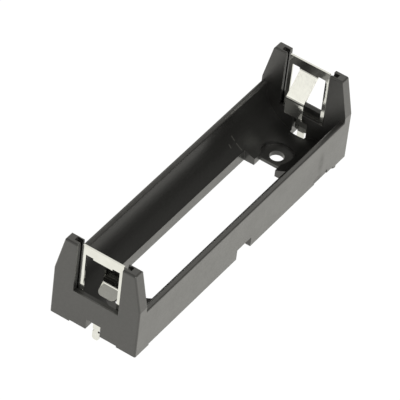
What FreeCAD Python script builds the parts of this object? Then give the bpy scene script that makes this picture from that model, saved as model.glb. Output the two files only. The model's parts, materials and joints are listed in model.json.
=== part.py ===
import FreeCAD, Part
import Sketcher
import math
import os

# Open cylindrical cell holder for a circuit board, all lengths in millimetres.
# X runs along the cell, Y across it, Z up; Z = 0 is the face of the feet that rests on the board.
# Everything repeats after half a turn about Z, so each end is built once and turned over.

DIMENSIONS = [
    ("body_length", 77.2, "overall length of the moulded body"),
    ("trough_radius", 9.2, "radius of the trough that takes the cell"),
    ("wall_thickness", 1.3, "thickness of the side walls at their top"),
    ("wall_rise", 0.2, "top of the side walls above the cell axis"),
    ("floor_thickness", 1.35, "floor of the trough at its lowest line"),
    ("foot_height", 0.35, "height of the corner feet"),
    ("foot_length", 4.8, "size of the corner feet along the body"),
    ("foot_width", 4.7, "size of the corner feet across the body"),
    ("end_thickness", 2.55, "thickness of each end block"),
    ("shoulder_rise", 1.2, "start of the narrow part of the end block above the side walls"),
    ("ear_rise", 9.1, "top of the ears above the shoulders"),
    ("ear_inset", 1.95, "how far an ear leans inward at its top"),
    ("window_width", 11.0, "gap between the ears"),
    ("outer_sill_drop", 2.1, "end wall outside the contact, below the cell axis"),
    ("inner_sill_drop", 1.6, "end wall inside the contact, below the one outside it"),
    ("contact_inset", 1.5, "contact plate centre behind the outer end face"),
    ("sheet_thickness", 0.45, "thickness of the contact sheet"),
    ("slot_clearance", 0.1, "free space on each side of the sheet in its slot"),
    ("slot_depth", 1.2, "how far the contact base reaches into each ear"),
    ("mouth_width", 1.05, "width of the open mouth of each slot in the ear tops"),
    ("mouth_depth", 0.6, "depth of that mouth"),
    ("barb_reach", 0.2, "how far each barb stands out of the base"),
    ("seat_height", 3.9, "height of the ledge that the contact stands on"),
    ("base_height", 3.0, "height of the contact base above that ledge"),
    ("leg_gap", 0.55, "free space between a contact leg and the ear"),
    ("leg_width", 0.85, "width of a contact leg"),
    ("bar_drop", 0.45, "top edge of the contact below the top of the ears"),
    ("bar_height", 2.2, "height of the bar that joins the legs"),
    ("root_step", 0.4, "depth of the relief cuts beside the tongue"),
    ("relief_gap", 0.15, "width of a relief cut beside the tongue"),
    ("tongue_width", 4.4, "width of the spring tongue"),
    ("bend_radius", 0.9, "centre line radius of the tongue bends"),
    ("nose_reach", 4.5, "tongue knee, measured inward from the plate"),
    ("nose_rise", 2.7, "tongue knee above the cell axis"),
    ("pad_reach", 4.4, "lower end of the flat pad, inward from the plate"),
    ("pad_drop", 1.75, "lower end of the flat pad below the cell axis"),
    ("tab_reach", 2.2, "tip of the tongue, inward from the plate"),
    ("tab_drop", 3.64, "tip of the tongue below the cell axis"),
    ("tip_rounding", 1.1, "rounding of the corners of the tongue tip"),
    ("gate_width", 3.5, "width of the notch for the solder tail"),
    ("gate_height", 3.0, "height of the notch for the solder tail"),
    ("inner_gate_height", 5.4, "height of the same notch inside the contact"),
    ("gate_undercut", 0.55, "how far that notch runs into the floor of the trough"),
    ("stem_clearance", 0.15, "free space beside the contact stem in the notch"),
    ("stem_bottom", 2.2, "lower edge of the wide stem"),
    ("tail_top", 2.0, "foot of the slopes that lead from the stem into the tail"),
    ("tail_width", 1.6, "width of the solder tail"),
    ("tail_length", 2.6, "how far the tail reaches below the board face"),
    ("neck_width", 0.9, "width of the neck of the tail"),
    ("neck_drop", 0.1, "middle of the neck below the board face"),
    ("neck_length", 0.7, "length of the neck along the tail"),
    ("opening_length", 46.6, "length of the opening in the trough floor"),
    ("opening_width", 10.2, "width of the opening in the trough floor"),
    ("recess_depth", 2.2, "depth of the middle recess at each end of the floor opening"),
    ("recess_width", 5.2, "width of the middle recess of the floor opening"),
    ("hole_land", 2.5, "mounting hole centre beyond the end of the recess"),
    ("hole_diameter", 3.2, "diameter of the mounting holes"),
    ("spot_diameter", 7.2, "diameter of the flat seat round a mounting hole"),
    ("spot_depth", 0.5, "depth of the flat seat below the lowest line of the trough"),
    ("pad_diameter", 4.2, "diameter of the standing pad under each mounting hole"),
    ("skirt", 1.3, "thickness of the side walls at the bottom"),
    ("notch_length", 5.1, "length of the notch in the middle of each side"),
    ("notch_height", 2.93, "height of the notch in the middle of each side"),
    ("core_width", 2.7, "width of the hollows under the trough"),
    ("core_low", 2.5, "ceiling of the hollows at their inner side"),
    ("core_high", 5.4, "ceiling of the hollows at their outer side"),
    ("core_rib", 12.6, "centre of the ribs between the hollows"),
    ("core_rib_thickness", 1.4, "thickness of the ribs between the hollows"),
    ("core_margin", 6.0, "end of the outer hollows, from the end face"),
    ("peg_diameter", 2.0, "diameter of the locating pegs"),
    ("peg_height", 0.9, "how far the locating pegs stand below the feet"),
    ("peg_inset", 3.6, "locating peg from the end face"),
    ("peg_margin", 1.2, "locating peg from the side face"),
    ("mark_inset", 7.3, "shallow flat at the bottom of one side, from the end face"),
    ("mark_length", 4.8, "length of that shallow flat"),
    ("mark_depth", 0.15, "depth of that shallow flat"),
    ("mark_height", 1.35, "top of that shallow flat"),
    ("ear_rounding", 0.45, "rounding of the ear tops"),
    ("edge_rounding", 0.35, "rounding of the long outer edges"),
    ("lip_rounding", 0.5, "rounding of the inner edges of the side walls"),
]


class Size:
    """A driving dimension: its number and the spreadsheet expression that gives it."""

    def __init__(self, value, text):
        self.value = value
        self.text = text

    def __add__(self, other):
        other = size(other)
        return Size(self.value + other.value, "(" + self.text + " + " + other.text + ")")

    def __sub__(self, other):
        other = size(other)
        return Size(self.value - other.value, "(" + self.text + " - " + other.text + ")")

    def __mul__(self, other):
        other = size(other)
        return Size(self.value * other.value, "(" + self.text + " * " + other.text + ")")

    def __truediv__(self, other):
        other = size(other)
        return Size(self.value / other.value, "(" + self.text + " / " + other.text + ")")

    def __neg__(self):
        return Size(-self.value, "(0 - " + self.text + ")")


def size(number):
    if isinstance(number, Size):
        return number
    return Size(float(number), "(" + repr(float(number)) + ")")


doc = FreeCAD.newDocument("cell_holder")
sheet = doc.addObject("Spreadsheet::Sheet", "dims")
sheet.set("A1", "dimension")
sheet.set("B1", "millimetres")
sheet.set("C1", "meaning")
D = {}
for row, (alias, number, meaning) in enumerate(DIMENSIONS, start=2):
    sheet.set("A%d" % row, alias)
    sheet.set("B%d" % row, str(number))
    sheet.set("C%d" % row, meaning)
    sheet.setAlias("B%d" % row, alias)
    D[alias] = Size(number, "dims." + alias)
doc.recompute()


def origin_plane(body, role):
    for feature in body.Origin.OriginFeatures:
        if feature.Role == role:
            return feature
    raise RuntimeError("no plane " + role)


def new_sketch(body, name, role, offset=None):
    sketch = body.newObject("Sketcher::SketchObject", name)
    sketch.AttachmentSupport = [(origin_plane(body, role), "")]
    sketch.MapMode = "FlatFace"
    if offset is not None:
        sketch.setExpression("AttachmentOffset.Base.z", size(offset).text)
    return sketch


def fix(sketch, kind, item, point, where):
    """Ties one coordinate of a point to the sheet; a zero lies on the axis instead."""
    where = size(where)
    if abs(where.value) < 1e-9:
        axis = -2 if kind == "DistanceX" else -1
        sketch.addConstraint(Sketcher.Constraint("PointOnObject", item, point, axis))
        return
    index = sketch.addConstraint(Sketcher.Constraint(kind, item, point, where.value))
    sketch.setExpression("Constraints[%d]" % index, where.text)


def polygon(sketch, corners):
    corners = [(size(u), size(v)) for u, v in corners]
    first = sketch.GeometryCount
    count = len(corners)
    for k in range(count):
        u, v = corners[k]
        u2, v2 = corners[(k + 1) % count]
        start = FreeCAD.Vector(u.value, v.value, 0)
        end = FreeCAD.Vector(u2.value, v2.value, 0)
        sketch.addGeometry(Part.LineSegment(start, end), False)
    for k in range(count):
        after = first + (k + 1) % count
        sketch.addConstraint(Sketcher.Constraint("Coincident", first + k, 2, after, 1))
    for k in range(count):
        fix(sketch, "DistanceX", first + k, 1, corners[k][0])
        fix(sketch, "DistanceY", first + k, 1, corners[k][1])


def rectangle(sketch, u1, v1, u2, v2):
    polygon(sketch, [(u1, v1), (u2, v1), (u2, v2), (u1, v2)])


def circle(sketch, u, v, diameter):
    u, v, diameter = size(u), size(v), size(diameter)
    middle = FreeCAD.Vector(u.value, v.value, 0)
    item = sketch.addGeometry(Part.Circle(middle, FreeCAD.Vector(0, 0, 1), diameter.value / 2), False)
    fix(sketch, "DistanceX", item, 3, u)
    fix(sketch, "DistanceY", item, 3, v)
    index = sketch.addConstraint(Sketcher.Constraint("Diameter", item, diameter.value))
    sketch.setExpression("Constraints[%d]" % index, diameter.text)


def extrude(body, kind, name, sketch, length, reverse=False, both=False):
    """Pads or pockets a sketch and makes sure that the solid really changed."""
    before = body.Shape.Volume if body.Shape and not body.Shape.isNull() else 0.0
    feature = body.newObject("PartDesign::" + kind, name)
    feature.Profile = sketch
    feature.Length = size(length).value
    feature.setExpression("Length", size(length).text)
    feature.Reversed = reverse
    if both:
        feature.SideType = "Symmetric"
    doc.recompute()
    after = body.Shape.Volume
    if abs(after - before) < 1e-6 or (kind == "Pad") != (after > before):
        raise RuntimeError("%s %s changed nothing" % (kind, name))
    return feature


def round_edges(body, name, radius, wanted):
    """Rounds the edges whose middle point passes the test."""
    base = body.Tip
    names = []
    for number, edge in enumerate(base.Shape.Edges, start=1):
        middle = edge.valueAt((edge.FirstParameter + edge.LastParameter) / 2)
        if wanted(edge, middle):
            names.append("Edge%d" % number)
    if not names:
        raise RuntimeError("no edges for " + name)
    feature = body.newObject("PartDesign::Fillet", name)
    feature.Base = (base, names)
    feature.Radius = size(radius).value
    feature.setExpression("Radius", size(radius).text)
    doc.recompute()
    return feature


def near(a, b, limit=0.02):
    return abs(a - b) < limit


# Places that several pieces share.
half_length = D["body_length"] / 2
half_width = D["trough_radius"] + D["wall_thickness"]
inner_face = half_length - D["end_thickness"]
half_window = D["window_width"] / 2
trough_bottom = D["foot_height"] + D["floor_thickness"]
cell_axis = trough_bottom + D["trough_radius"]
wall_top = cell_axis + D["wall_rise"]
shoulder = wall_top + D["shoulder_rise"]
ear_top = shoulder + D["ear_rise"]
outer_sill = cell_axis - D["outer_sill_drop"]
inner_sill = outer_sill - D["inner_sill_drop"]
spot_height = trough_bottom - D["spot_depth"]
plate_x = half_length - D["contact_inset"]
half_slot = D["sheet_thickness"] / 2 + D["slot_clearance"]
half_base = half_window + D["slot_depth"]
slot_span = half_base + D["barb_reach"]
recess_reach = D["opening_length"] / 2 + D["recess_depth"]
hole_offset = recess_reach + D["hole_land"]
peg_x = half_length - D["peg_inset"]
peg_y = half_width - D["peg_margin"]
ends = (1, -1)

# Moulded body: trough, two end blocks with ears, floor opening, feet.
body = doc.addObject("PartDesign::Body", "holder_body")
body.Label = "holder_body"

outline = new_sketch(body, "body_outline", "XY_Plane", D["foot_height"])
rectangle(outline, -inner_face, -half_width, inner_face, half_width)
extrude(body, "Pad", "body_block", outline, wall_top - D["foot_height"])

for end in ends:
    tag = "a" if end > 0 else "b"
    start = inner_face if end > 0 else -half_length
    face = new_sketch(body, "end_face_" + tag, "YZ_Plane", start)
    ear_edge = half_width - D["ear_inset"]
    polygon(face, [
        (-half_width, D["foot_height"]),
        (half_width, D["foot_height"]),
        (half_width, shoulder),
        (ear_edge, ear_top),
        (half_window, ear_top),
        (half_window, outer_sill),
        (-half_window, outer_sill),
        (-half_window, ear_top),
        (-ear_edge, ear_top),
        (-half_width, shoulder),
    ])
    extrude(body, "Pad", "end_block_" + tag, face, D["end_thickness"])

# Feet at the four corners.
feet = new_sketch(body, "foot_outline", "XY_Plane")
for end in ends:
    for side in ends:
        rectangle(feet, (half_length - D["foot_length"]) * end, (half_width - D["foot_width"]) * side,
                  half_length * end, half_width * side)
extrude(body, "Pad", "feet", feet, D["foot_height"])

trough = new_sketch(body, "trough_section", "YZ_Plane")
circle(trough, 0, cell_axis, D["trough_radius"] * 2)
extrude(body, "Pocket", "trough", trough, inner_face * 2, both=True)

# The ear tops and the outer edges are rounded before the slots are cut.
round_edges(body, "ear_rounding", D["ear_rounding"], lambda edge, p: (
    near(p.z, ear_top.value) and edge.Length > 1.0
    and abs(abs(p.y) - half_window.value) > 0.1))
round_edges(body, "corner_rounding", D["edge_rounding"], lambda edge, p: (
    near(abs(p.x), half_length.value) and abs(p.y) > half_window.value + 1.0
    and edge.Length > 6.0 and abs(edge.tangentAt(edge.FirstParameter).y) < 0.3
    and p.z < ear_top.value - 1.0))
round_edges(body, "wall_rounding", D["edge_rounding"], lambda edge, p: (
    near(p.z, wall_top.value) and near(abs(p.y), half_width.value) and edge.Length > 50))
round_edges(body, "lip_rounding", D["lip_rounding"], lambda edge, p: (
    near(p.z, wall_top.value) and abs(p.y) < half_width.value - 0.8 and edge.Length > 50))

# Floor: flat seats, mounting holes and the long opening with its middle recesses.
spots = new_sketch(body, "seat_circles", "XY_Plane", spot_height)
for end in ends:
    circle(spots, hole_offset * end, 0, D["spot_diameter"])
extrude(body, "Pocket", "flat_seats", spots, 4, reverse=True)

opening = new_sketch(body, "opening_outline", "XY_Plane")
ox = D["opening_length"] / 2
oy = D["opening_width"] / 2
rx = recess_reach
ry = D["recess_width"] / 2
polygon(opening, [
    (-ox, -oy), (ox, -oy), (ox, -ry), (rx, -ry), (rx, ry), (ox, ry),
    (ox, oy), (-ox, oy), (-ox, ry), (-rx, ry), (-rx, -ry), (-ox, -ry),
])
extrude(body, "Pocket", "floor_opening", opening, 6, reverse=True)

# Each mounting hole goes through a pad that stands on the board.
pads = new_sketch(body, "pad_circles", "XY_Plane")
for end in ends:
    circle(pads, hole_offset * end, 0, D["pad_diameter"])
extrude(body, "Pad", "screw_pads", pads, spot_height)

holes = new_sketch(body, "hole_circles", "XY_Plane")
for end in ends:
    circle(holes, hole_offset * end, 0, D["hole_diameter"])
extrude(body, "Pocket", "mounting_holes", holes, 4, reverse=True)

# Contact slots, open at the ear tops and closed by the seat at the bottom.
slots = new_sketch(body, "slot_outline", "XY_Plane", ear_top + 1)
for end in ends:
    rectangle(slots, (plate_x - half_slot) * end, -slot_span, (plate_x + half_slot) * end, slot_span)
extrude(body, "Pocket", "contact_slots", slots, ear_top + 1 - D["seat_height"])

# Each slot opens into a wider mouth at the top.
half_mouth = D["mouth_width"] / 2
mouths = new_sketch(body, "slot_mouth_outline", "XY_Plane", ear_top + 1)
for end in ends:
    rectangle(mouths, (plate_x - half_mouth) * end, -slot_span, (plate_x + half_mouth) * end, slot_span)
extrude(body, "Pocket", "slot_mouths", mouths, D["mouth_depth"] + 1)

sills = new_sketch(body, "inner_sill_outline", "XY_Plane", inner_sill)
for end in ends:
    rectangle(sills, inner_face * end, -half_window, plate_x * end, half_window)
extrude(body, "Pocket", "inner_sills", sills, 4, reverse=True)

# Notches for the solder tails: tall inside the contact, low outside it.
half_gate = D["gate_width"] / 2
tall = new_sketch(body, "inner_gate_outline", "XY_Plane")
for end in ends:
    rectangle(tall, (inner_face - D["gate_undercut"]) * end, -half_gate, plate_x * end, half_gate)
extrude(body, "Pocket", "inner_gates", tall, D["inner_gate_height"], reverse=True)

low = new_sketch(body, "outer_gate_outline", "XY_Plane")
for end in ends:
    rectangle(low, plate_x * end, -half_gate, (half_length + 1) * end, half_gate)
extrude(body, "Pocket", "outer_gates", low, D["gate_height"], reverse=True)

passage = new_sketch(body, "passage_outline", "XY_Plane")
for end in ends:
    rectangle(passage, (plate_x - half_slot) * end, -half_gate, (plate_x + half_slot) * end, half_gate)
extrude(body, "Pocket", "tail_passages", passage, D["seat_height"] + 0.1, reverse=True)

# Underside: hollows between the skirt and the trough, and a notch in the middle of each side.
skirt_face = half_width - D["skirt"]
core_inner = skirt_face - D["core_width"]
core_end = half_length - D["core_margin"]
spans = [
    ("left", -core_end, -D["core_rib"] - D["core_rib_thickness"] / 2),
    ("middle", -D["core_rib"] + D["core_rib_thickness"] / 2, D["core_rib"] - D["core_rib_thickness"] / 2),
    ("right", D["core_rib"] + D["core_rib_thickness"] / 2, core_end),
]
for tag, start, stop in spans:
    hollow = new_sketch(body, "hollow_section_" + tag, "YZ_Plane", start)
    for side in ends:
        polygon(hollow, [
            (core_inner * side, 0),
            (skirt_face * side, 0),
            (skirt_face * side, D["core_high"]),
            (core_inner * side, D["core_low"]),
        ])
    extrude(body, "Pocket", "hollows_" + tag, hollow, stop - start, reverse=True)

notches = new_sketch(body, "notch_outline", "XY_Plane")
for side in ends:
    half_notch = D["notch_length"] / 2
    rectangle(notches, -half_notch, (skirt_face - 0.2) * side, half_notch, (half_width + 1) * side)
extrude(body, "Pocket", "side_notches", notches, D["notch_height"], reverse=True)

mark_end = half_length - D["mark_inset"]
marks = new_sketch(body, "mark_outline", "XY_Plane")
for side in ends:
    inside = (half_width - D["mark_depth"]) * -side
    outside = (half_width + 1) * -side
    rectangle(marks, (mark_end - D["mark_length"]) * side, inside, mark_end * side, outside)
extrude(body, "Pocket", "side_flats", marks, D["mark_height"], reverse=True)

# Two locating pegs on one diagonal.
pegs = new_sketch(body, "peg_circles", "XY_Plane", D["foot_height"])
for side in ends:
    circle(pegs, peg_x * side, -peg_y * side, D["peg_diameter"])
extrude(body, "Pad", "pegs", pegs, D["foot_height"] + D["peg_height"], reverse=True)


# Spring contact: one stamped and folded sheet, made for the +X end and turned for the other.
def spring_contact(name, turn):
    contact = doc.addObject("PartDesign::Body", name)
    contact.Label = name
    base_top = D["seat_height"] + D["base_height"]
    leg_outer = half_window - D["leg_gap"]
    leg_inner = leg_outer - D["leg_width"]
    bar_top = ear_top - D["bar_drop"]
    relief_top = bar_top - D["bar_height"]
    root = relief_top - D["root_step"]
    relief_inner = D["tongue_width"] / 2 + D["relief_gap"]
    half_stem = half_gate - D["stem_clearance"]
    half_tail = D["tail_width"] / 2
    half_neck = D["neck_width"] / 2
    neck_mid = -D["neck_drop"]
    barb_mid = (D["seat_height"] + base_top) / 2
    tip = -D["tail_length"]
    right = [
        (half_tail * 0.55, tip),
        (half_tail, tip + half_tail * 0.6),
        (half_tail, neck_mid - D["neck_length"] / 2),
        (half_neck, neck_mid - D["neck_length"] / 5),
        (half_neck, neck_mid + D["neck_length"] / 5),
        (half_tail, neck_mid + D["neck_length"] / 2),
        (half_tail, D["tail_top"]),
        (half_stem, D["stem_bottom"]),
        (half_stem, D["seat_height"]),
        (half_base, D["seat_height"]),
        (half_base, barb_mid - 0.5),
        (half_base + D["barb_reach"], barb_mid + 0.4),
        (half_base, barb_mid + 0.4),
        (half_base, base_top),
        (leg_outer, base_top),
        (leg_outer, bar_top),
    ]
    left = [(-u, v) for u, v in reversed(right)]
    plate = new_sketch(contact, name + "_plate_outline", "YZ_Plane", plate_x - D["sheet_thickness"] / 2)
    polygon(plate, right + left)
    polygon(plate, [
        (-leg_inner, base_top),
        (leg_inner, base_top),
        (leg_inner, relief_top),
        (relief_inner, relief_top),
        (relief_inner, root),
        (-relief_inner, root),
        (-relief_inner, relief_top),
        (-leg_inner, relief_top),
    ])
    extrude(contact, "Pad", name + "_plate", plate, D["sheet_thickness"])

    # Centre line of the tongue: down out of the bar, inward to the knee, flat pad, tip turned out.
    path = new_sketch(contact, name + "_tongue_line", "XZ_Plane")
    knots = [
        (plate_x, root + 0.9),
        (plate_x, root - 0.1),
        (plate_x - D["nose_reach"], cell_axis + D["nose_rise"]),
        (plate_x - D["pad_reach"], cell_axis - D["pad_drop"]),
        (plate_x - D["tab_reach"], cell_axis - D["tab_drop"]),
    ]
    flat = [FreeCAD.Vector(u.value, v.value, 0) for u, v in knots]
    spots = []
    for spot, (u, v) in zip(flat, knots):
        point = path.addGeometry(Part.Point(spot), True)
        fix(path, "DistanceX", point, 1, u)
        fix(path, "DistanceY", point, 1, v)
        spots.append(point)
    radius = D["bend_radius"]
    bends = []
    for k in (1, 2, 3):
        into = (flat[k] - flat[k - 1]).normalize()
        out = (flat[k + 1] - flat[k]).normalize()
        back = radius.value * math.tan(into.getAngle(out) / 2)
        side = (out - into).normalize()
        centre = flat[k] + side * math.hypot(radius.value, back)
        bends.append((flat[k] - into * back, centre - side * radius.value, flat[k] + out * back))
    starts = [flat[0]] + [bend[2] for bend in bends]
    stops = [bend[0] for bend in bends] + [flat[4]]
    lines = []
    for k in range(4):
        line = path.addGeometry(Part.LineSegment(starts[k], stops[k]), False)
        if k > 0:
            path.addConstraint(Sketcher.Constraint("PointOnObject", spots[k], 1, line))
        if k < 3:
            path.addConstraint(Sketcher.Constraint("PointOnObject", spots[k + 1], 1, line))
        lines.append(line)
    path.addConstraint(Sketcher.Constraint("Coincident", lines[0], 1, spots[0], 1))
    path.addConstraint(Sketcher.Constraint("Coincident", lines[3], 2, spots[4], 1))
    for k, bend in enumerate(bends):
        shape = Part.Arc(*bend)
        arc = path.addGeometry(shape, False)
        begins = path.getPoint(arc, 1).distanceToPoint(bend[0]) < 0.001
        first, last = (1, 2) if begins else (2, 1)
        path.addConstraint(Sketcher.Constraint("Tangent", lines[k], 2, arc, first))
        path.addConstraint(Sketcher.Constraint("Tangent", arc, last, lines[k + 1], 1))
        index = path.addConstraint(Sketcher.Constraint("Radius", arc, radius.value))
        path.setExpression("Constraints[%d]" % index, radius.text)

    strip = new_sketch(contact, name + "_tongue_section", "XY_Plane", root + 0.9)
    rectangle(strip, plate_x - D["sheet_thickness"] / 2, -D["tongue_width"] / 2,
              plate_x + D["sheet_thickness"] / 2, D["tongue_width"] / 2)
    tongue = contact.newObject("PartDesign::AdditivePipe", name + "_tongue")
    tongue.Profile = strip
    tongue.Spine = (path, [])
    doc.recompute()

    # The two corners of the tongue tip are rounded.
    low = (cell_axis - D["tab_drop"]).value + 0.6
    round_edges(contact, name + "_tip_rounding", D["tip_rounding"], lambda edge, p: (
        near(edge.Length, D["sheet_thickness"].value, 0.01) and near(abs(p.y), D["tongue_width"].value / 2)
        and p.z < low and p.x > inner_face.value - 4.0 and p.z > D["seat_height"].value))
    about_z = FreeCAD.Rotation(FreeCAD.Vector(0, 0, 1), turn)
    contact.Placement = FreeCAD.Placement(FreeCAD.Vector(0, 0, 0), about_z)
    doc.recompute()
    return contact


pieces = [
    body,
    spring_contact("right_contact", 0),
    spring_contact("left_contact", 180),
]

doc.recompute()
for item in doc.Objects:
    if "Invalid" in item.State or "Error" in item.State:
        raise RuntimeError("%s failed: %s" % (item.Name, item.State))
for piece in pieces:
    shape = piece.Shape
    if shape.isNull() or not shape.isValid() or len(shape.Solids) != 1:
        raise RuntimeError(piece.Label + " is not one valid solid")

os.makedirs("parts", exist_ok=True)
for piece in pieces:
    piece.Shape.exportStep("parts/" + piece.Label + ".step")
    box = piece.Shape.BoundBox
    corners = (box.XMin, box.YMin, box.ZMin, box.XMax, box.YMax, box.ZMax)
    print(piece.Label, "volume %.1f mm3" % piece.Shape.Volume)
    print("    box %.2f %.2f %.2f to %.2f %.2f %.2f" % corners)
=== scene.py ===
import json
import math

import bpy
from bpy.props import FloatProperty, FloatVectorProperty, PointerProperty
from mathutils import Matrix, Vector

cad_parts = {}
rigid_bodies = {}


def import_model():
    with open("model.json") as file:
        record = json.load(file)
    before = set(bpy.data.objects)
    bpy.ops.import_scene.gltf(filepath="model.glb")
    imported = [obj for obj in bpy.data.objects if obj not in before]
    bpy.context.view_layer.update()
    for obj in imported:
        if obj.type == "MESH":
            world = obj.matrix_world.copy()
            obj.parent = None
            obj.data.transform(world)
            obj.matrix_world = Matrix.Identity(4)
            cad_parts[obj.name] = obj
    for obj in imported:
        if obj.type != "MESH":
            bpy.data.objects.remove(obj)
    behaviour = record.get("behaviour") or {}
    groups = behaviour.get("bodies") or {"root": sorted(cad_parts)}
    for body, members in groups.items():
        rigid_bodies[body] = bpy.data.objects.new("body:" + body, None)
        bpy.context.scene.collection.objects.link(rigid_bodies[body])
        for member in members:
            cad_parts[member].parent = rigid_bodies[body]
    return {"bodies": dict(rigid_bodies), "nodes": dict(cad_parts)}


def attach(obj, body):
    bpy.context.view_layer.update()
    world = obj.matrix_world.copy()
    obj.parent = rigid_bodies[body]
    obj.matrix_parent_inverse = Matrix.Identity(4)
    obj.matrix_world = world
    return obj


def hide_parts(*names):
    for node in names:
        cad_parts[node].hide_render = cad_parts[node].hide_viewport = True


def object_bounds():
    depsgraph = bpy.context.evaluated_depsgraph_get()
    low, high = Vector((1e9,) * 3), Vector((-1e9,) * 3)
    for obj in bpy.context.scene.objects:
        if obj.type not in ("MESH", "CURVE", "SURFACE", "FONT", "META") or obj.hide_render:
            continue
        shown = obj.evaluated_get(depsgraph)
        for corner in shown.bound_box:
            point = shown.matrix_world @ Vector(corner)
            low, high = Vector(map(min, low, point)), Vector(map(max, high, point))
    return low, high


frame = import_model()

bl_info = {
    "name": "Open cell holder",
    "version": (1, 0, 0),
    "blender": (4, 5, 0),
    "location": "3D View > Sidebar > Cell holder",
    "description": "Finishes a moulded cell holder with two plated spring contacts and sets its stage",
    "category": "Object",
}

MM = 0.001
BODY_NODE = "holder_body"
CONTACT_NODES = ("right_contact", "left_contact")

# Anything that isn't part of the frame leaves before the model is measured.
kept = list(frame["nodes"].values()) + list(frame["bodies"].values())
for stray in [item for item in bpy.data.objects if item not in kept]:
    bpy.data.objects.remove(stray)
CAD_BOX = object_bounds()

# The slots and the window of each end block end here along X, across Y and in height.
SLOT_END = 38.3 * MM
SLOT_SIDE = 6.6 * MM
SLOT_FOOT = 3.5 * MM
SLOT_TOP = CAD_BOX[1][2] - 0.1 * MM

# The end faces of the floor opening lie between these heights, each point within the slack.
FLOOR_BOTTOM = -1.0 * MM
FLOOR_TOP = 4.4 * MM
POINT_SLACK = 0.01 * MM

# Corners of the frame's loose triangles that are nearer than this are one.
MERGE_STEP = 0.0001 * MM

# How far the regions of the moulding's finish reach past the faces that they take in.
TROUGH_MARGIN = 0.03 * MM
CRISP_MARGIN = 0.2 * MM
CRISP_LENGTH = 0.8 * MM
LIP_MARGIN = 0.05 * MM

# The end blocks' region starts this far behind their inner faces, and the lip's this far below the top.
DRAFT_MARGIN = 0.2 * MM
LIP_DEPTH = 0.55 * MM

# Noise patterns, in repeats per metre, and the stretch of those that run one way.
CLOUDS = 240.0
SWELLS = 700.0
STREAKS = 900.0
MOTTLE = 1300.0
DULL_PATCHES = 380.0
DENTS = 1700.0
ROLLING = 5200.0
ALONG_TROUGH = (0.06, 1.0, 1.0)
UP_THE_SHEET = (1.0, 1.0, 0.05)

# The middle of a noise, where most of its values lie.
NOISE_MIDDLE = (0.35, 0.65)

# Relief of the patterns: strength and depth.
SWELL_RELIEF = (0.10, 0.05 * MM)
DENT_RELIEF = (0.12, 0.03 * MM)
ROLLING_RELIEF = (0.05, 0.01 * MM)
GRAIN_DEPTH = 0.02 * MM
OUTER_GRAIN = 0.30
TROUGH_GRAIN = 0.06

# Roughness of each finish: lowest and highest.
OUTER_ROUGHNESS = (0.30, 0.40)
TROUGH_ROUGHNESS = (0.32, 0.36)
PLATING_ROUGHNESS = (0.05, 0.09)

# The smooth skin of the moulding: its roughness, and how its mottling thins it.
SKIN_ROUGHNESS = 0.30
SKIN_MOTTLE = (0.90, 1.0)

# The plastic's refraction, the rounding of the sheet's edges, and the samples of a rounding.
PLASTIC_IOR = 1.5
SHEET_EDGE = 0.03 * MM
EDGE_SAMPLES = 6

# Wear starts and is full where a softened edge has turned by this much, as one minus the cosine.
WEAR_TURN = (0.02, 0.25)
WEAR_MOTTLE = (0.2, 1.0)

# Faint mould lines on the inner wall: start and end in millimetres.
MOULD_LINES = (
    ((21.93, 8.02, 6.40), (22.16, 7.32, 5.32)),
    ((22.28, 6.82, 4.73), (22.51, 5.49, 3.51)),
    ((20.27, 7.45, 5.50), (20.32, 6.89, 4.80)),
)
LINE_HALF_WIDTH = 0.15 * MM

# Rubbed patches on the side wall: centre and reach in millimetres, and strength. A patch starts to
# fade at the core's share of its reach, and its mottling leaves at least that share of its strength.
RUBBED = (
    ((28.2, -10.5, 5.2), (1.3, 0.6, 3.4), 0.55),
    ((27.6, -10.5, 0.9), (2.4, 0.6, 1.5), 0.95),
)
RUBBED_CORE = 0.35
RUBBED_LEAST = 0.4

# The tones of the studio light, of the backdrop as it is seen, and of the floor's paper.
WARM = (1.0, 0.985, 0.925)
WHITE = (1.0, 1.0, 1.0)
PAPER = (0.88, 0.88, 0.88)

# The share of the floor's own brightness that the camera and mirrors see; the rest is lamp light.
SEEN_SHARE = 0.92
MIRRORED_SHARE = 0.70
FLOOR_SIZE = 8.0

# Each lamp: name, direction from the object, distance, width, height and radiance.
LAMPS = (
    ("key_lamp", (-0.24, -0.86, 0.50), 1.20, 1.25, 1.20, 2.85),
    ("top_lamp", (0.60, 0.38, 0.71), 1.10, 1.20, 1.10, 0.53),
    ("rear_lamp", (-0.772, 0.393, 0.500), 1.50, 1.20, 0.62, 0.75),
)


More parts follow.
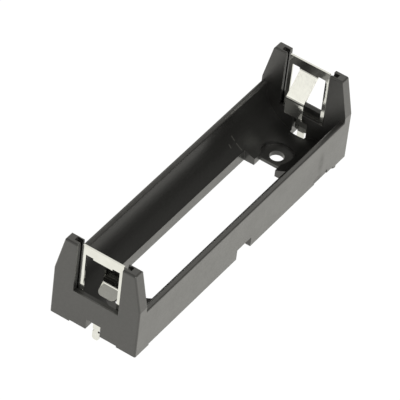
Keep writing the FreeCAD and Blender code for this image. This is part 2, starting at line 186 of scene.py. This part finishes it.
class HolderSettings(bpy.types.PropertyGroup):
    """Sizes and colours of the holder's finishes."""

    body_dark: FloatVectorProperty(
        name="Moulding, dark", description="Deepest tone of the moulded plastic",
        subtype="COLOR", size=3, min=0.0, max=1.0, default=(0.016, 0.016, 0.015))
    body_light: FloatVectorProperty(
        name="Moulding, light", description="Lightest tone of the moulded plastic",
        subtype="COLOR", size=3, min=0.0, max=1.0, default=(0.022, 0.0215, 0.0205))
    # Partly the polished plastic's own deeper tone, partly painted shade: this darker colour also fills
    # the trough, slots and windows, where shade falls.
    trough_tone_and_shade: FloatVectorProperty(
        name="Trough", description="Tone of the polished trough",
        subtype="COLOR", size=3, min=0.0, max=1.0, default=(0.0145, 0.0145, 0.0140))
    worn_tone: FloatVectorProperty(
        name="Worn edge", description="Tone of the rubbed edges of the moulding",
        subtype="COLOR", size=3, min=0.0, max=1.0, default=(0.050, 0.049, 0.047))
    line_tone: FloatVectorProperty(
        name="Mould line", description="Tone of the faint mould lines on the inner wall",
        subtype="COLOR", size=3, min=0.0, max=1.0, default=(0.110, 0.110, 0.105))
    skin: FloatProperty(
        name="Moulded skin", description="Weight of the smooth skin over the moulding",
        subtype="FACTOR", min=0.0, max=1.0, default=1.0)
    trough_skin: FloatProperty(
        name="Trough skin", description="Weight of the smooth skin in the trough, slots and windows",
        subtype="FACTOR", min=0.0, max=1.0, default=0.05)
    grain_size: FloatProperty(
        name="Grain", description="Size of the fine grain on the outer faces of the moulding",
        subtype="DISTANCE", unit="LENGTH", min=0.02 * MM, max=2 * MM, default=0.16 * MM)
    edge_softness: FloatProperty(
        name="Edge softness", description="How far the light wraps round a moulded edge",
        subtype="DISTANCE", unit="LENGTH", min=0.0, max=1 * MM, default=0.14 * MM)
    lip_rounding: FloatProperty(
        name="Lip rounding", description="Width of the rounding along the inner edge of the +Y wall",
        subtype="DISTANCE", unit="LENGTH", min=0.0, max=2 * MM, default=1.10 * MM)
    cell_axis: FloatProperty(
        name="Cell axis", description="Height of the cell axis above the board",
        subtype="DISTANCE", unit="LENGTH", default=10.9 * MM)
    wall_rise: FloatProperty(
        name="Wall rise", description="Top of the side walls above the cell axis",
        subtype="DISTANCE", unit="LENGTH", default=0.2 * MM)
    trough_radius: FloatProperty(
        name="Trough radius", description="Radius of the polished trough",
        subtype="DISTANCE", unit="LENGTH", default=9.2 * MM)
    trough_length: FloatProperty(
        name="Trough length", description="Length of the polished trough between the end walls",
        subtype="DISTANCE", unit="LENGTH", default=71.98 * MM)
    opening_length: FloatProperty(
        name="Opening length", description="Length of the floor opening beside its middle recesses",
        subtype="DISTANCE", unit="LENGTH", default=46.6 * MM)
    opening_width: FloatProperty(
        name="Opening width", description="Width of the opening in the floor",
        subtype="DISTANCE", unit="LENGTH", default=10.2 * MM)
    recess_width: FloatProperty(
        name="Recess width", description="Width of the middle recesses at the ends of that opening",
        subtype="DISTANCE", unit="LENGTH", default=5.2 * MM)
    opening_shift: FloatProperty(
        name="Near end shift", description="How far the opening's near end is cut back beside its recess",
        subtype="DISTANCE", unit="LENGTH", default=2.1 * MM)
    metal: FloatVectorProperty(
        name="Plating", description="Tone of the plated contact sheet",
        subtype="COLOR", size=3, min=0.0, max=1.0, default=(0.865, 0.87, 0.835))
    metal_shade: FloatVectorProperty(
        name="Plating, dull", description="Tone of the duller patches of the plating",
        subtype="COLOR", size=3, min=0.0, max=1.0, default=(0.81, 0.815, 0.775))


class StageSettings(bpy.types.PropertyGroup):
    """Floor, room and camera."""

    floor_level: FloatProperty(
        name="Floor", description="Height of the floor that the solder tails touch",
        subtype="DISTANCE", unit="LENGTH", default=-2.6 * MM)
    backdrop: FloatProperty(
        name="Backdrop", description="Brightness of the floor and backdrop as the camera sees them",
        min=0.0, max=2.0, default=1.08)
    surround: FloatProperty(
        name="Surround", description="Brightness of the room above the floor",
        min=0.0, max=4.0, default=0.33)
    camera_place: FloatVectorProperty(
        name="Camera", description="Place of the camera",
        subtype="TRANSLATION", unit="LENGTH", size=3, default=(-0.564975, -0.320223, 0.620063))
    camera_turn: FloatVectorProperty(
        name="Camera turn", description="Rotation of the camera about X, Y and Z",
        subtype="EULER", unit="ROTATION", size=3,
        default=(math.radians(46.5044), math.radians(-5.2295), math.radians(-55.4245)))
    focal_length: FloatProperty(
        name="Focal length", description="Focal length in millimetres on a 36 mm frame",
        min=1.0, max=1000.0, default=392.30)


def holder():
    """The sizes and colours of the holder."""
    return bpy.context.scene.cell_holder


def stage():
    """The settings of the floor, room and camera."""
    return bpy.context.scene.cell_stage


def new_material(name):
    """An empty node material: its tree, its Principled shader and Object coordinates."""
    material = bpy.data.materials.new(name)
    material.use_nodes = True
    tree = material.node_tree
    tree.nodes.clear()
    output = tree.nodes.new("ShaderNodeOutputMaterial")
    shader = tree.nodes.new("ShaderNodeBsdfPrincipled")
    tree.links.new(shader.outputs["BSDF"], output.inputs["Surface"])
    place = tree.nodes.new("ShaderNodeTexCoord").outputs["Object"]
    return material, tree, shader, place


def feed(tree, socket, value):
    """Gives a socket what it reads: another socket, a plain value, or its own default for None."""
    if isinstance(value, bpy.types.NodeSocket):
        tree.links.new(value, socket)
    elif value is not None:
        socket.default_value = value


def noise(tree, place, scale, detail, stretch=None):
    """Noise of so many repeats per metre, stretched along one axis where asked."""
    if stretch is not None:
        mapping = tree.nodes.new("ShaderNodeMapping")
        mapping.inputs["Scale"].default_value = stretch
        tree.links.new(place, mapping.inputs["Vector"])
        place = mapping.outputs["Vector"]
    node = tree.nodes.new("ShaderNodeTexNoise")
    node.inputs["Scale"].default_value = scale
    node.inputs["Detail"].default_value = detail
    tree.links.new(place, node.inputs["Vector"])
    return node.outputs["Fac"]


def spread(tree, value, low, high, start=NOISE_MIDDLE[0], stop=NOISE_MIDDLE[1]):
    """Maps what lies between start and stop to a range, and holds the rest at its ends."""
    node = tree.nodes.new("ShaderNodeMapRange")
    node.inputs["From Min"].default_value = start
    node.inputs["From Max"].default_value = stop
    node.inputs["To Min"].default_value = low
    node.inputs["To Max"].default_value = high
    tree.links.new(value, node.inputs["Value"])
    return node.outputs["Result"]


def math_node(tree, operation, first, second=None):
    """A sum on values or value sockets."""
    node = tree.nodes.new("ShaderNodeMath")
    node.operation = operation
    for socket, value in zip(node.inputs, (first, second)):
        feed(tree, socket, value)
    return node.outputs["Value"]


def vector_node(tree, operation, first, second=None, scale=None):
    """A sum on vectors or vector sockets."""
    node = tree.nodes.new("ShaderNodeVectorMath")
    node.operation = operation
    for socket, value in zip(node.inputs, (first, second)):
        feed(tree, socket, value)
    if scale is not None:
        tree.links.new(scale, node.inputs["Scale"])
    return node.outputs["Value" if operation in ("LENGTH", "DOT_PRODUCT") else "Vector"]


def above(tree, value, limit):
    """1 where a value is above a limit, otherwise 0."""
    return math_node(tree, "GREATER_THAN", value, limit)


def below(tree, value, limit):
    """1 where a value is below a limit, otherwise 0."""
    return math_node(tree, "LESS_THAN", value, limit)


def all_of(tree, *tests):
    """1 where every test is 1."""
    result = tests[0]
    for test in tests[1:]:
        result = math_node(tree, "MULTIPLY", result, test)
    return result


def blend(tree, kind, factor, first, second):
    """Mixes two numbers, directions or colours: the kind is VALUE, VECTOR or RGBA."""
    node = tree.nodes.new("ShaderNodeMix")
    node.data_type = "FLOAT" if kind == "VALUE" else kind
    tree.links.new(factor, node.inputs["Factor"])
    sockets = [socket for socket in node.inputs if socket.type == kind and socket.name in ("A", "B")]
    for socket, value in zip(sockets, (first, second)):
        if kind == "RGBA" and not isinstance(value, bpy.types.NodeSocket):
            value = (*value, 1.0)
        feed(tree, socket, value)
    return [socket for socket in node.outputs if socket.type == kind][0]


def relief(tree, height, strength, depth, normal=None):
    """The direction of a surface that is raised by a height."""
    node = tree.nodes.new("ShaderNodeBump")
    feed(tree, node.inputs["Strength"], strength)
    node.inputs["Distance"].default_value = depth
    tree.links.new(height, node.inputs["Height"])
    feed(tree, node.inputs["Normal"], normal)
    return node.outputs["Normal"]


def soft_edges(tree, radius):
    """The direction of a surface whose edges are rounded by a radius."""
    node = tree.nodes.new("ShaderNodeBevel")
    node.samples = EDGE_SAMPLES
    node.inputs["Radius"].default_value = radius
    return node.outputs["Normal"]


def true_direction(tree):
    """The direction of the surface as modelled."""
    return tree.nodes.new("ShaderNodeNewGeometry").outputs["Normal"]


def axes(tree, place):
    """The X, Y and Z of a place."""
    node = tree.nodes.new("ShaderNodeSeparateXYZ")
    tree.links.new(place, node.inputs["Vector"])
    return [node.outputs[axis] for axis in "XYZ"]


def trough_reach(tree, place, radius, length):
    """1 within a distance of the cell axis and within a length about the middle, otherwise 0."""
    centred = vector_node(tree, "SUBTRACT", place, (0.0, 0.0, holder().cell_axis))
    away = vector_node(tree, "LENGTH", vector_node(tree, "MULTIPLY", centred, (0.0, 1.0, 1.0)))
    along = vector_node(tree, "LENGTH", vector_node(tree, "MULTIPLY", centred, (1.0, 0.0, 0.0)))
    return all_of(tree, below(tree, away, radius), below(tree, along, length / 2))


def inside_trough(tree, place):
    """1 on the polished trough between the end walls, 0 on the grained outer faces."""
    return trough_reach(tree, place, holder().trough_radius + TROUGH_MARGIN, holder().trough_length)


def inside_end(tree, place):
    """1 in the slots and the window of each end block, 0 outside them."""
    x, y, z = axes(tree, place)
    along = math_node(tree, "ABSOLUTE", x)
    across = math_node(tree, "ABSOLUTE", y)
    return all_of(tree,
                  above(tree, along, holder().trough_length / 2 + DRAFT_MARGIN),
                  below(tree, along, SLOT_END),
                  below(tree, across, SLOT_SIDE),
                  above(tree, z, SLOT_FOOT),
                  below(tree, z, SLOT_TOP))


def crisp_region(tree, place):
    """1 where edges are left crisp: in the trough, on the inner end faces and in the slots."""
    radius = holder().trough_radius + CRISP_MARGIN
    trough = trough_reach(tree, place, radius, holder().trough_length + CRISP_LENGTH)
    return math_node(tree, "MAXIMUM", trough, inside_end(tree, place))


def soft_spot(tree, place, centre, reach):
    """1 at a place in millimetres, fading to 0 at its reach along each axis."""
    offset = vector_node(tree, "SUBTRACT", place, tuple(value * MM for value in centre))
    scaled = vector_node(tree, "DIVIDE", offset, tuple(value * MM for value in reach))
    return spread(tree, vector_node(tree, "LENGTH", scaled), 1.0, 0.0, RUBBED_CORE, 1.0)


def ruled_line(tree, place, start, end, half_width):
    """1 along a line between two places in millimetres, fading to 0 at its half width."""
    first = Vector(start) * MM
    toward = Vector(end) * MM - first
    offset = vector_node(tree, "SUBTRACT", place, tuple(first))
    share = vector_node(tree, "DOT_PRODUCT", offset, tuple(toward / toward.length_squared))
    share = math_node(tree, "MINIMUM", math_node(tree, "MAXIMUM", share, 0.0), 1.0)
    nearest = vector_node(tree, "SCALE", tuple(toward), scale=share)
    away = vector_node(tree, "LENGTH", vector_node(tree, "SUBTRACT", offset, nearest))
    return spread(tree, away, 1.0, 0.0, 0.0, half_width)


def rounded_lip(tree, place):
    """The inner edge of the +Y wall: 1 where it is rounded, and the direction of that rounding."""
    look = holder()
    x, y, z = axes(tree, place)
    top = look.cell_axis + look.wall_rise
    start = look.trough_radius + look.lip_rounding
    where = all_of(tree,
                   below(tree, math_node(tree, "ABSOLUTE", x), look.trough_length / 2),
                   above(tree, y, 0.0),
                   below(tree, y, start),
                   above(tree, z, top - LIP_DEPTH),
                   below(tree, z, top + LIP_MARGIN))
    lean = spread(tree, y, 0.0, 1.0, start, look.trough_radius)
    rise = math_node(tree, "SUBTRACT", 1.0, math_node(tree, "MULTIPLY", lean, lean))
    direction = tree.nodes.new("ShaderNodeCombineXYZ")
    tree.links.new(math_node(tree, "MULTIPLY", lean, -1.0), direction.inputs["Y"])
    tree.links.new(math_node(tree, "SQRT", rise), direction.inputs["Z"])
    return where, direction.outputs["Vector"]


def moulded_edges(tree, place):
    """The direction of the moulding with its outer edges and the lip of its +Y wall rounded."""
    softened = soft_edges(tree, holder().edge_softness)
    edges = blend(tree, "VECTOR", crisp_region(tree, place), softened, true_direction(tree))
    lip, lip_direction = rounded_lip(tree, place)
    return blend(tree, "VECTOR", lip, edges, lip_direction)


def worn_edges(tree, softened, patches):
    """Where an edge has been rubbed: the softened direction leaves the true one, in patches."""
    agreement = vector_node(tree, "DOT_PRODUCT", softened, true_direction(tree))
    turn = math_node(tree, "SUBTRACT", 1.0, agreement)
    return all_of(tree, spread(tree, turn, 0.0, 1.0, *WEAR_TURN), spread(tree, patches, *WEAR_MOTTLE))


def moulding_material():
    """Fine-grained black plastic with a smooth skin, a duller trough, painted shade in the trough, slots
    and windows, worn edges and mould lines.
    """
    material, tree, shader, place = new_material("moulded_black")
    look = holder()
    clouds = noise(tree, place, CLOUDS, detail=5.0)
    mottle = noise(tree, place, MOTTLE, detail=4.0)
    grain = noise(tree, place, 1.0 / look.grain_size, detail=3.0)
    streaks = noise(tree, place, STREAKS, detail=3.0, stretch=ALONG_TROUGH)
    inside = math_node(tree, "MAXIMUM", inside_trough(tree, place), inside_end(tree, place))
    edges = moulded_edges(tree, place)

    tone = blend(tree, "RGBA", spread(tree, clouds, 0.0, 1.0), look.body_dark, look.body_light)
    # Painted shade, in part: the trough, slots and windows take a darker tone than the outer faces. It
    # stands for the shade in these hollows as well as the polished finish.
    tone = blend(tree, "RGBA", inside, tone, look.trough_tone_and_shade)
    tone = blend(tree, "RGBA", worn_edges(tree, edges, mottle), tone, look.worn_tone)
    for start, end in MOULD_LINES:
        line = ruled_line(tree, place, start, end, LINE_HALF_WIDTH)
        tone = blend(tree, "RGBA", line, tone, look.line_tone)
    tree.links.new(tone, shader.inputs["Base Color"])

    outer_roughness = spread(tree, clouds, *OUTER_ROUGHNESS)
    trough_roughness = spread(tree, streaks, *TROUGH_ROUGHNESS)
    roughness = blend(tree, "VALUE", inside, outer_roughness, trough_roughness)
    tree.links.new(roughness, shader.inputs["Roughness"])

    swells = relief(tree, noise(tree, place, SWELLS, detail=2.0), *SWELL_RELIEF, edges)
    grain_strength = blend(tree, "VALUE", inside, OUTER_GRAIN, TROUGH_GRAIN)
    surface = relief(tree, grain, grain_strength, GRAIN_DEPTH, swells)
    tree.links.new(surface, shader.inputs["Normal"])
    tree.links.new(surface, shader.inputs["Coat Normal"])
    shader.inputs["IOR"].default_value = PLASTIC_IOR

    skin = math_node(tree, "MULTIPLY", spread(tree, mottle, *SKIN_MOTTLE), look.skin)
    for centre, reach, strength in RUBBED:
        mottled = spread(tree, mottle, strength * RUBBED_LEAST, strength)
        patch = all_of(tree, soft_spot(tree, place, centre, reach), mottled)
        skin = math_node(tree, "MULTIPLY", skin, math_node(tree, "SUBTRACT", 1.0, patch))
    weight = blend(tree, "VALUE", inside, skin, look.trough_skin)
    tree.links.new(weight, shader.inputs["Coat Weight"])
    shader.inputs["Coat Roughness"].default_value = SKIN_ROUGHNESS
    return material


def plating_material():
    """Bright plated sheet with duller patches, small dents and fine marks of rolling."""
    material, tree, shader, place = new_material("bright_plating")
    look = holder()
    patches = noise(tree, place, DULL_PATCHES, detail=4.0)
    rolling = noise(tree, place, ROLLING, detail=3.0, stretch=UP_THE_SHEET)
    tone = blend(tree, "RGBA", spread(tree, patches, 0.0, 1.0), look.metal, look.metal_shade)
    tree.links.new(tone, shader.inputs["Base Color"])
    shader.inputs["Metallic"].default_value = 1.0
    tree.links.new(spread(tree, rolling, *PLATING_ROUGHNESS), shader.inputs["Roughness"])
    edges = soft_edges(tree, SHEET_EDGE)
    dents = relief(tree, noise(tree, place, DENTS, detail=3.0), *DENT_RELIEF, edges)
    tree.links.new(relief(tree, rolling, *ROLLING_RELIEF, dents), shader.inputs["Normal"])
    return material


def spot(place):
    """A place in whole steps, so that equal places compare as equal."""
    return tuple(round(value / MERGE_STEP) for value in place)


def corner_places(mesh):
    """Each face corner's number, with the face and the corner's place."""
    for face in mesh.polygons:
        for corner in face.loop_indices:
            yield corner, face, mesh.vertices[mesh.loops[corner].vertex_index].co


def select_only(piece):
    """Makes a piece the one that is selected and active."""
    bpy.ops.object.select_all(action="DESELECT")
    bpy.context.view_layer.objects.active = piece
    piece.select_set(True)


def merged_copy(node, name):
    """A copy of a node with its loose triangles joined, and the shading of each of its corners."""
    source = frame["nodes"][node].data
    shading = {}
    for corner, face, place in corner_places(source):
        shading[spot(face.center) + spot(place)] = Vector(source.corner_normals[corner].vector)
    piece = bpy.data.objects.new(name, source.copy())
    bpy.context.scene.collection.objects.link(piece)
    select_only(piece)
    bpy.ops.object.mode_set(mode="EDIT")
    bpy.ops.mesh.select_all(action="SELECT")
    bpy.ops.mesh.remove_doubles(threshold=MERGE_STEP)
    bpy.ops.object.mode_set(mode="OBJECT")
    normals = [shading.get(spot(face.center) + spot(place), face.normal.copy())
               for corner, face, place in corner_places(piece.data)]
    return piece, normals


def move_end(piece, low, high, shift):
    """Moves the points of a box on each side of the middle along X, and returns how many there were."""
    select_only(piece)
    bpy.ops.object.mode_set(mode="EDIT")
    bpy.ops.mesh.select_all(action="DESELECT")
    bpy.ops.object.mode_set(mode="OBJECT")
    count = 0
    for point in piece.data.vertices:
        place = (point.co.x, abs(point.co.y), point.co.z)
        point.select = all(start < value < stop for start, value, stop in zip(low, place, high))
        count += point.select
    bpy.ops.object.mode_set(mode="EDIT")
    bpy.ops.transform.translate(value=(shift, 0.0, 0.0))
    bpy.ops.object.mode_set(mode="OBJECT")
    return count


class HOLDER_OT_body(bpy.types.Operator):
    """Finishes the moulded body: the plain near end of its floor opening and its black plastic."""

    bl_idname = "cell_holder.body"
    bl_label = "Moulded body"

    def execute(self, context):
        piece, normals = merged_copy(BODY_NODE, "moulded_body")
        look = holder()
        end = -look.opening_length / 2
        low = (end - POINT_SLACK, look.recess_width / 2 - POINT_SLACK, FLOOR_BOTTOM)
        high = (end + POINT_SLACK, look.opening_width / 2 + POINT_SLACK, FLOOR_TOP)
        if not move_end(piece, low, high, -look.opening_shift):
            raise RuntimeError("the near end of the floor opening wasn't found")
        piece.data.normals_split_custom_set(normals)
        piece.data.materials.clear()
        piece.data.materials.append(moulding_material())
        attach(piece, "root")
        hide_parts(BODY_NODE)
        return {"FINISHED"}


class HOLDER_OT_contacts(bpy.types.Operator):
    """Gives both spring contacts their bright plating."""

    bl_idname = "cell_holder.contacts"
    bl_label = "Spring contacts"

    def execute(self, context):
        material = plating_material()
        for name in CONTACT_NODES:
            for item in frame["nodes"][name].material_slots:
                item.material = material
        return {"FINISHED"}


def paper_material():
    """Matt paper that takes the object's shadow, and that the camera and mirrors see nearly white."""
    material = bpy.data.materials.new("floor_paper")
    material.use_nodes = True
    tree = material.node_tree
    tree.nodes.clear()
    output = tree.nodes.new("ShaderNodeOutputMaterial")
    matt = tree.nodes.new("ShaderNodeBsdfDiffuse")
    matt.inputs["Color"].default_value = (*PAPER, 1.0)
    glow = tree.nodes.new("ShaderNodeEmission")
    glow.inputs["Strength"].default_value = stage().backdrop
    path = tree.nodes.new("ShaderNodeLightPath")
    glossy = path.outputs["Is Glossy Ray"]
    tree.links.new(blend(tree, "RGBA", glossy, WHITE, WARM), glow.inputs["Color"])
    seen = math_node(tree, "MAXIMUM", path.outputs["Is Camera Ray"], path.outputs["Is Transmission Ray"])
    share = math_node(tree, "MAXIMUM",
                      math_node(tree, "MULTIPLY", seen, SEEN_SHARE),
                      math_node(tree, "MULTIPLY", glossy, MIRRORED_SHARE))
    mix = tree.nodes.new("ShaderNodeMixShader")
    tree.links.new(share, mix.inputs["Fac"])
    tree.links.new(matt.outputs["BSDF"], mix.inputs[1])
    tree.links.new(glow.outputs["Emission"], mix.inputs[2])
    tree.links.new(mix.outputs["Shader"], output.inputs["Surface"])
    material.cycles.emission_sampling = "NONE"
    return material


def add_floor():
    """A wide sheet of paper under the solder tails."""
    bpy.ops.object.select_all(action="DESELECT")
    bpy.ops.mesh.primitive_plane_add(size=FLOOR_SIZE, location=(0.0, 0.0, stage().floor_level))
    floor = bpy.context.object
    bpy.ops.object.transform_apply(location=True, rotation=True, scale=True)
    floor.name = "floor"
    floor.data.materials.append(paper_material())


def add_world():
    """A dim warm room that the camera sees as a white backdrop."""
    world = bpy.data.worlds.new("room")
    world.use_nodes = True
    tree = world.node_tree
    tree.nodes.clear()
    output = tree.nodes.new("ShaderNodeOutputWorld")
    room = tree.nodes.new("ShaderNodeBackground")
    room.inputs["Color"].default_value = (*WARM, 1.0)
    room.inputs["Strength"].default_value = stage().surround
    shown = tree.nodes.new("ShaderNodeBackground")
    shown.inputs["Color"].default_value = (*WHITE, 1.0)
    shown.inputs["Strength"].default_value = stage().backdrop
    path = tree.nodes.new("ShaderNodeLightPath")
    mix = tree.nodes.new("ShaderNodeMixShader")
    tree.links.new(path.outputs["Is Camera Ray"], mix.inputs["Fac"])
    tree.links.new(room.outputs["Background"], mix.inputs[1])
    tree.links.new(shown.outputs["Background"], mix.inputs[2])
    tree.links.new(mix.outputs["Shader"], output.inputs["Surface"])
    bpy.context.scene.world = world


def add_lamps():
    """The soft lamps, each turned towards the object."""
    for name, direction, distance, width, height, radiance in LAMPS:
        away = Vector(direction).normalized()
        data = bpy.data.lights.new(name, "AREA")
        data.shape = "RECTANGLE"
        data.size = width
        data.size_y = height
        data.energy = radiance * math.pi * width * height
        data.color = WARM
        lamp = bpy.data.objects.new(name, data)
        lamp.location = away * distance
        lamp.rotation_euler = away.to_track_quat("Z", "Y").to_euler()
        bpy.context.scene.collection.objects.link(lamp)


def add_camera():
    """The camera at the photograph's view."""
    data = bpy.data.cameras.new("camera")
    data.sensor_width = 36.0
    data.sensor_fit = "HORIZONTAL"
    data.lens = stage().focal_length
    data.clip_start = 0.01
    data.clip_end = 20.0
    camera = bpy.data.objects.new("camera", data)
    camera.location = stage().camera_place
    camera.rotation_euler = stage().camera_turn
    bpy.context.scene.collection.objects.link(camera)
    bpy.context.scene.camera = camera


class HOLDER_OT_stage(bpy.types.Operator):
    """Adds the pale floor, the room, the soft lamps and the camera."""

    bl_idname = "cell_holder.stage"
    bl_label = "Stage"

    def execute(self, context):
        add_floor()
        add_world()
        add_lamps()
        add_camera()
        context.scene.view_settings.view_transform = "Standard"
        return {"FINISHED"}


class HOLDER_PT_panel(bpy.types.Panel):
    """Lists the settings of the cell holder and its stage."""

    bl_idname = "HOLDER_PT_panel"
    bl_label = "Cell holder"
    bl_space_type = "VIEW_3D"
    bl_region_type = "UI"
    bl_category = "Cell holder"

    def draw(self, context):
        layout = self.layout
        for settings, names in (
            (context.scene.cell_holder, HolderSettings.__annotations__),
            (context.scene.cell_stage, StageSettings.__annotations__),
        ):
            column = layout.column()
            for name in names:
                column.prop(settings, name)
        for operator in OPERATORS:
            layout.operator(operator.bl_idname)


OPERATORS = (HOLDER_OT_body, HOLDER_OT_contacts, HOLDER_OT_stage)
CLASSES = (HolderSettings, StageSettings, *OPERATORS, HOLDER_PT_panel)


def register():
    for item in CLASSES:
        bpy.utils.register_class(item)
    bpy.types.Scene.cell_holder = PointerProperty(type=HolderSettings)
    bpy.types.Scene.cell_stage = PointerProperty(type=StageSettings)


def unregister():
    del bpy.types.Scene.cell_stage
    del bpy.types.Scene.cell_holder
    for item in reversed(CLASSES):
        bpy.utils.unregister_class(item)


def main():
    register()
    bpy.ops.cell_holder.body()
    bpy.ops.cell_holder.contacts()
    bpy.ops.cell_holder.stage()


if __name__ == "__main__":
    main()
